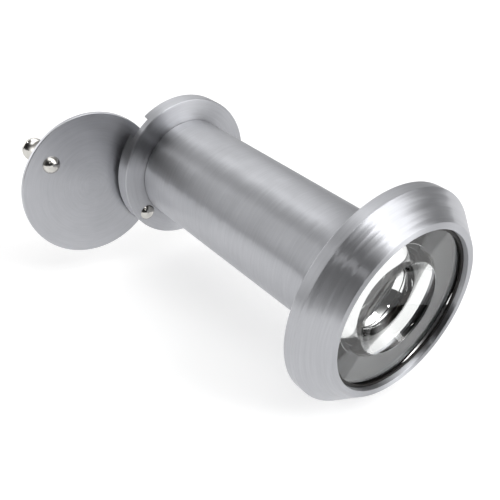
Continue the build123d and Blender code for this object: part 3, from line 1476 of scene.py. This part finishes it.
@dataclass
class PivotJoint(SubAssembly):
    """The rivet that the cover swings on, with its spacer."""

    head: float = 2.0
    shank: float = 1.1
    tail: float = 1.8
    tail_rim: float = 0.35
    tail_dome: float = 0.5
    body: Body = Body.INTERIOR

    def place(self) -> Matrix:
        """Where the pivot's axis lies."""
        pivot = Vector(joint("cover_swing")["pos_m"])
        return Matrix.Translation((pivot.x, 0, pivot.z))

    def make_rivet(self) -> bpy.types.Object:
        """A domed head in front of the flange, a shank and a domed tail."""
        low, high = box_mm("pivot_rivet")
        face = box_mm("interior_flange")[0].y
        tail_low = high.y - self.tail_dome - self.tail_rim
        head_sag = LensStack.chord_sag(self.head, face - low.y)
        tail_sag = LensStack.chord_sag(self.tail, self.tail_dome)
        outline = [Corner(0.0, low.y)]
        outline += arc((0.0, low.y), (self.head, face - 0.01), -head_sag, 18)
        outline += [
            Corner(self.shank, face - 0.01),
            Corner(self.shank, tail_low),
            Corner(self.tail, tail_low, 0.08),
            Corner(self.tail, tail_low + self.tail_rim),
        ]
        outline += arc((self.tail, tail_low + self.tail_rim), (0.0, high.y), -tail_sag, 14)
        piece = turned("pivot_rivet_look", outline, self.place(), 96)
        return self.fit(piece, Slot.BRIGHT_NICKEL, BRIGHT)

    def make_spacer(self) -> bpy.types.Object:
        """The sleeve that holds the cover clear of the flange's lip."""
        low, high = box_mm("pivot_spacer")
        outer = (high.x - low.x) / 2
        outline = ring(self.shank + 0.02, outer, low.y + 0.01, high.y, 0.1)
        piece = turned("pivot_spacer_look", outline, self.place(), 96)
        return self.fit(piece, Slot.TURNED_BRASS, BRASS)

    def make(self) -> list[bpy.types.Object]:
        """Builds and dresses the rivet and its spacer."""
        return [self.make_rivet(), self.make_spacer()]


@dataclass
class PivotWashers(SubAssembly):
    """The coned spring washer and the flat washer that turn with the cover."""

    hole: float = 1.2
    wire: float = 0.4
    body: Body = Body.WASHERS

    def make(self) -> list[bpy.types.Object]:
        """Builds and dresses both washers."""
        pivot = Vector(joint("cover_swing")["pos_m"])
        place = Matrix.Translation((pivot.x, 0, pivot.z))
        low, high = box_mm("cone_spring_washer")
        outer = (high.x - low.x) / 2
        cone = [
            Corner(self.hole, high.y - self.wire, 0.05),
            Corner(outer, low.y, 0.08),
            Corner(outer, low.y + self.wire, 0.08),
            Corner(self.hole, high.y, 0.05),
        ]
        spring = turned("cone_spring_washer_look", cone, place, 96)
        low, high = box_mm("outer_washer")
        flat = turned("outer_washer_look", ring(self.hole, outer, low.y, high.y), place, 96)
        return [
            self.fit(spring, Slot.SPRING_STEEL, SPRING),
            self.fit(flat, Slot.SPRING_STEEL, SPRING),
        ]


@dataclass
class SwingCover(SubAssembly):
    """The cover disc with its pull knob and the rivet that holds the knob."""

    notches: NotchCutter
    radius: float = 18.2
    half: float = 0.5
    arm: float = 15.4
    knob_offset: float = 12.7
    hole: float = 1.3
    stem: float = 1.5
    foot: float = 2.5
    collar: float = 2.9
    collar_level: float = 10.3
    collar_rim: float = 0.8
    tip: float = 1.94
    bore: float = 1.0
    bore_depth: float = 5.0
    dome: float = 2.2
    dome_height: float = 1.4
    flare: float = 2.6
    flare_steps: int = 14
    tip_steps: int = 18
    tip_neck: float = 0.3
    body: Body = Body.COVER
    frame: Matrix = field(init=False)

    def __post_init__(self) -> None:
        """Works out the tilted cover's own frame from the joints."""
        rock = joint("cover_rock")
        hinge = Vector(rock["axis"]).normalized()
        tilt = math.radians(-rock["range_deg"][0])
        level = Vector((hinge.z, 0.0, -hinge.x))
        along = level * math.cos(tilt) + Vector((0, 1, 0)) * math.sin(tilt)
        outward = Vector((0, 1, 0)) * math.cos(tilt) - level * math.sin(tilt)
        third = along.cross(outward)
        turn = Matrix((along, outward, third)).transposed().to_4x4()
        self.frame = Matrix.Translation(Vector(rock["pos_m"])) @ turn

    def place(self, along: float) -> Matrix:
        """The frame of a piece at a distance from the pivot, towards the knob."""
        return self.frame @ Matrix.Translation((along * MM, 0, 0))

    def finish(self) -> BrushedMetal:
        """The cover's own satin, brushed round its centre."""
        turn = self.frame.to_3x3()
        return BrushedMetal(
            "Brushed satin nickel, cover",
            dark="#AEAFB3",
            pale="#BCBDC1",
            roughness=0.32,
            anisotropy=0.3,
            sway=0.012,
            relief_mm=0.0007,
            centre=tuple(self.place(self.arm).translation / MM),
            axis=tuple(turn @ Vector((0, 1, 0))),
            across=tuple(turn @ Vector((1, 0, 0))),
        )

    def make_disc(self) -> bpy.types.Object:
        """A flat disc with softened edges and its two holes."""
        outline = [
            Corner(0.0, -self.half),
            Corner(self.radius, -self.half, 0.2),
            Corner(self.radius, self.half, 0.2),
            Corner(0.0, self.half),
        ]
        piece = turned("cover_disc_look", outline)
        self.notches.work(
            piece,
            self.finish(),
            Count=2,
            Phase=0.0,
            Reach=AWAY,
            Level=AWAY,
            Notch=Vector((0, 1, 0)) * MM,
            Pocket_place=Vector((-self.arm, 0, 0)) * MM,
            Pocket_radius=self.hole * MM,
            Pocket_height=4.0 * MM,
            Hole_place=Vector((self.knob_offset, 0, 0)) * MM,
            Hole_radius=self.bore * MM,
            Hole_height=4.0 * MM,
        )
        piece.data.transform(self.place(self.arm))
        return self.fit(piece, Slot.SATIN_NICKEL, self.finish())

    def make_knob(self) -> bpy.types.Object:
        """The pull knob: a stem that flares to a collar under a domed tip."""
        flare_start = Vector((self.stem, self.collar_level - self.flare))
        flare_end = Vector((self.collar, self.collar_level))
        pulls = (flare_start + Vector((0, self.flare / 2)), flare_end - Vector((1, 0.45)) * 0.9)
        outline = [
            Corner(self.bore + 0.03, self.half + 0.01),
            Corner(self.foot, self.half + 0.01, 0.1),
            Corner(self.foot, self.half + 0.6, 0.25),
            Corner(self.stem, self.half + 0.9, 0.3),
        ]
        for k in range(self.flare_steps + 1):
            t = k / self.flare_steps
            spot = (
                flare_start * (1 - t) ** 3
                + pulls[0] * 3 * t * (1 - t) ** 2
                + pulls[1] * 3 * t * t * (1 - t)
                + flare_end * t**3
            )
            outline.append(Corner(spot.x, spot.y))
        top = self.collar_level + self.collar_rim
        outline[-1] = Corner(self.collar, self.collar_level, 0.15)
        outline += [
            Corner(self.collar, top, 0.25),
            Corner(self.tip, top + self.tip_neck, 0.1),
        ]
        for k in range(1, self.tip_steps + 1):
            turn = math.pi / 2 * k / self.tip_steps
            rise = self.tip * math.sin(turn)
            outline.append(Corner(self.tip * math.cos(turn), top + self.tip_neck + rise))
        outline[-1] = Corner(0.0, top + self.tip_neck + self.tip)
        inside = [Corner(0.0, self.bore_depth), Corner(self.bore + 0.03, self.bore_depth)]
        outline = inside + outline
        piece = turned("cover_knob_look", outline, self.place(self.arm + self.knob_offset), 96)
        return self.fit(piece, Slot.BRIGHT_NICKEL, BRIGHT)

    def make_knob_rivet(self) -> bpy.types.Object:
        """The domed rivet on the inner face that holds the knob."""
        sag = LensStack.chord_sag(self.dome, self.dome_height)
        outline = [Corner(0.0, -self.half - self.dome_height)]
        outline += arc(
            (0.0, -self.half - self.dome_height), (self.dome, -self.half - 0.01), -sag, 18
        )
        outline += [
            Corner(self.bore - 0.02, -self.half - 0.01),
            Corner(self.bore - 0.02, self.bore_depth - 0.05),
            Corner(0.0, self.bore_depth - 0.05),
        ]
        piece = turned("knob_rivet_look", outline, self.place(self.arm + self.knob_offset), 96)
        return self.fit(piece, Slot.BRIGHT_NICKEL, BRIGHT)

    def make(self) -> list[bpy.types.Object]:
        """Builds and dresses the cover's three pieces."""
        return [self.make_disc(), self.make_knob(), self.make_knob_rivet()]


# --- studio ---------------------------------------------------------------------


def towards(azimuth: float, elevation: float) -> Vector:
    """A direction: azimuth 0 is -Y and 90 is +X, elevation is above the horizon."""
    a, e = math.radians(azimuth), math.radians(elevation)
    return Vector((math.sin(a) * math.cos(e), -math.cos(a) * math.cos(e), math.sin(e)))


@dataclass(frozen=True)
class SoftPanel:
    """A lit patch of the studio tent, bright in the middle and soft at its edge.

    Attributes:
        azimuth: Its direction round the object, in degrees.
        elevation: Its height above the horizon, in degrees.
        width: How far its light spreads, in radians.
        strength: Its radiance in the middle.
    """

    azimuth: float
    elevation: float
    width: float
    strength: float


@dataclass(frozen=True)
class Lamp:
    """A square soft lamp.

    Attributes:
        name: Its name.
        azimuth: Its direction round the object, in degrees.
        elevation: Its height above the horizon, in degrees.
        reach: Its distance from the object, in metres.
        size: Its side, in metres.
        watts: Its power.
    """

    name: str
    azimuth: float
    elevation: float
    reach: float
    size: float
    watts: float


@dataclass
class Studio:
    """A pale floor, a dim tent with four soft lights behind its cloth, and two lamps.

    Two broad walls glow behind the viewer, one to each side. A tall strip stands at
    the right of the bezel and a round light hangs overhead. The side where the
    camera stands is left dim, so that the brushed metal has a dark band to show.
    """

    floor_size: float = 3.0
    surround: float = 0.02
    rear_left: SoftPanel = SoftPanel(-145, 15, 0.4, 2.2)
    rear_right: SoftPanel = SoftPanel(145, 15, 0.5, 1.2)
    overhead: SoftPanel = SoftPanel(0, 75, 0.2, 3.0)
    strip_azimuth: float = 38.0
    strip_low: float = 10.0
    strip_high: float = 55.0
    strip_lights: int = 4
    strip_width: float = 0.18
    strip_strength: float = 2.2
    soft_box: Lamp = Lamp("soft_box", 15.0, 45.0, 0.5, 0.11, 0.28)
    hand_lamp: Lamp = Lamp("hand_lamp", -33.0, 38.0, 0.2, 0.014, 0.009)

    def strip(self) -> list[SoftPanel]:
        """The tall strip: equal lights, evenly spaced from its foot to its top."""
        step = (self.strip_high - self.strip_low) / (self.strip_lights - 1)
        return [
            SoftPanel(
                self.strip_azimuth, self.strip_low + step * i, self.strip_width, self.strip_strength
            )
            for i in range(self.strip_lights)
        ]

    def _aim(self, thing: bpy.types.Object, way: Vector, reach: float) -> None:
        """Puts a lamp out along a direction, facing the object.

        Args:
            thing: The lamp.
            way: The direction, from the object.
            reach: The distance, in metres.
        """
        low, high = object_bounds()
        centre = (low + high) / 2
        thing.location = centre + way * reach
        thing.rotation_mode = "QUATERNION"
        thing.rotation_quaternion = (-way).to_track_quat("-Z", "Y")

    def make_floor(self) -> None:
        """The light table that the viewer lies on."""
        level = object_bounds()[0].z
        half = self.floor_size / 2
        mesh = bpy.data.meshes.new("opal_floor")
        mesh.from_pydata(
            [(-half, -half, level), (half, -half, level), (half, half, level), (-half, half, level)],
            [],
            [(0, 1, 2, 3)],
        )
        mesh.materials.append(OPAL.material())
        floor = bpy.data.objects.new("opal_floor", mesh)
        bpy.context.scene.collection.objects.link(floor)
        floor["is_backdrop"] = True

    def make_surround(self) -> None:
        """The tent: dim cloth with lit patches, plain white where it is looked at."""
        world = bpy.data.worlds.new("studio_tent")
        world.use_nodes = True
        tree = world.node_tree
        tree.nodes.clear()
        way = add_node(tree, "ShaderNodeTexCoord").outputs["Generated"]
        light: Any = self.surround
        for panel in [self.rear_left, self.rear_right, self.overhead, *self.strip()]:
            aim = tuple(towards(panel.azimuth, panel.elevation))
            facing = add_node(
                tree, "ShaderNodeVectorMath", {0: way, 1: aim}, operation="DOT_PRODUCT"
            ).outputs["Value"]
            for do, value in (
                ("SUBTRACT", 1.0),
                ("DIVIDE", panel.width**2),
                ("EXPONENT", 0.0),
                ("MULTIPLY", panel.strength),
                ("ADD", light),
            ):
                facing = add_node(
                    tree, "ShaderNodeMath", {0: facing, 1: value}, operation=do
                ).outputs[0]
            light = facing
        tent = add_node(tree, "ShaderNodeBackground", {"Strength": light})
        plain = add_node(tree, "ShaderNodeBackground", {"Strength": 1.0})
        for glow in (tent, plain):
            glow.inputs["Color"].default_value = linear("#FFFFFF")
        seen = add_node(tree, "ShaderNodeLightPath").outputs["Is Camera Ray"]
        mix = add_node(
            tree, "ShaderNodeMixShader", {0: seen, 1: tent.outputs[0], 2: plain.outputs[0]}
        )
        add_node(tree, "ShaderNodeOutputWorld", {"Surface": mix.outputs[0]})
        bpy.context.scene.world = world

    def make_lamp(self, lamp: Lamp) -> None:
        """Hangs a lamp where the camera doesn't see it.

        Args:
            lamp: The lamp's place, size and power.
        """
        light = bpy.data.lights.new(lamp.name, "AREA")
        light.size = lamp.size
        light.energy = lamp.watts
        thing = bpy.data.objects.new(lamp.name, light)
        bpy.context.scene.collection.objects.link(thing)
        thing.visible_camera = False
        self._aim(thing, towards(lamp.azimuth, lamp.elevation), lamp.reach)

    def make(self) -> None:
        """Sets up the whole studio."""
        self.make_floor()
        self.make_surround()
        self.make_lamp(self.soft_box)
        self.make_lamp(self.hand_lamp)


@dataclass
class ViewCamera:
    """The camera above and to the left of the bezel."""

    place: tuple[float, float, float] = (-93.12, -71.3, 86.6)
    azimuth: float = -36.02
    elevation: float = 36.27
    lens: float = 51.131
    shift: tuple[float, float] = (0.0844, 0.0534)

    def make(self) -> None:
        """Creates the camera and makes it the scene's own."""
        data = bpy.data.cameras.new("view_camera")
        data.lens = self.lens
        data.sensor_width = 36.0
        data.shift_x, data.shift_y = self.shift
        data.clip_start, data.clip_end = 0.001, 20.0
        camera = bpy.data.objects.new("view_camera", data)
        bpy.context.scene.collection.objects.link(camera)
        camera.location = Vector(self.place) * MM
        camera.rotation_mode = "QUATERNION"
        way = -towards(self.azimuth, self.elevation)
        camera.rotation_quaternion = way.to_track_quat("-Z", "Y")
        bpy.context.scene.camera = camera


def main() -> None:
    """Builds the viewer, its studio and its camera."""
    logging.basicConfig(level=logging.INFO, format="%(name)s: %(message)s")
    cad_low, cad_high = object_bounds()
    cad = (cad_low.copy(), cad_high.copy())
    threads, notches, ribs = ThreadCutter(), NotchCutter(), GlareGroover()
    groups: list[SubAssembly] = [
        ExteriorUnit(threads),
        LensStack(notches, ribs),
        InteriorUnit(threads, notches, ribs),
        PivotJoint(),
        PivotWashers(),
        SwingCover(notches),
    ]
    for group in groups:
        made = group.make()
        LOG.info("%s: %d pieces", type(group).__name__, len(made))
    Studio().make()
    ViewCamera().make()
    bpy.context.scene.view_settings.view_transform = "Standard"


if __name__ == "__main__":
    main()
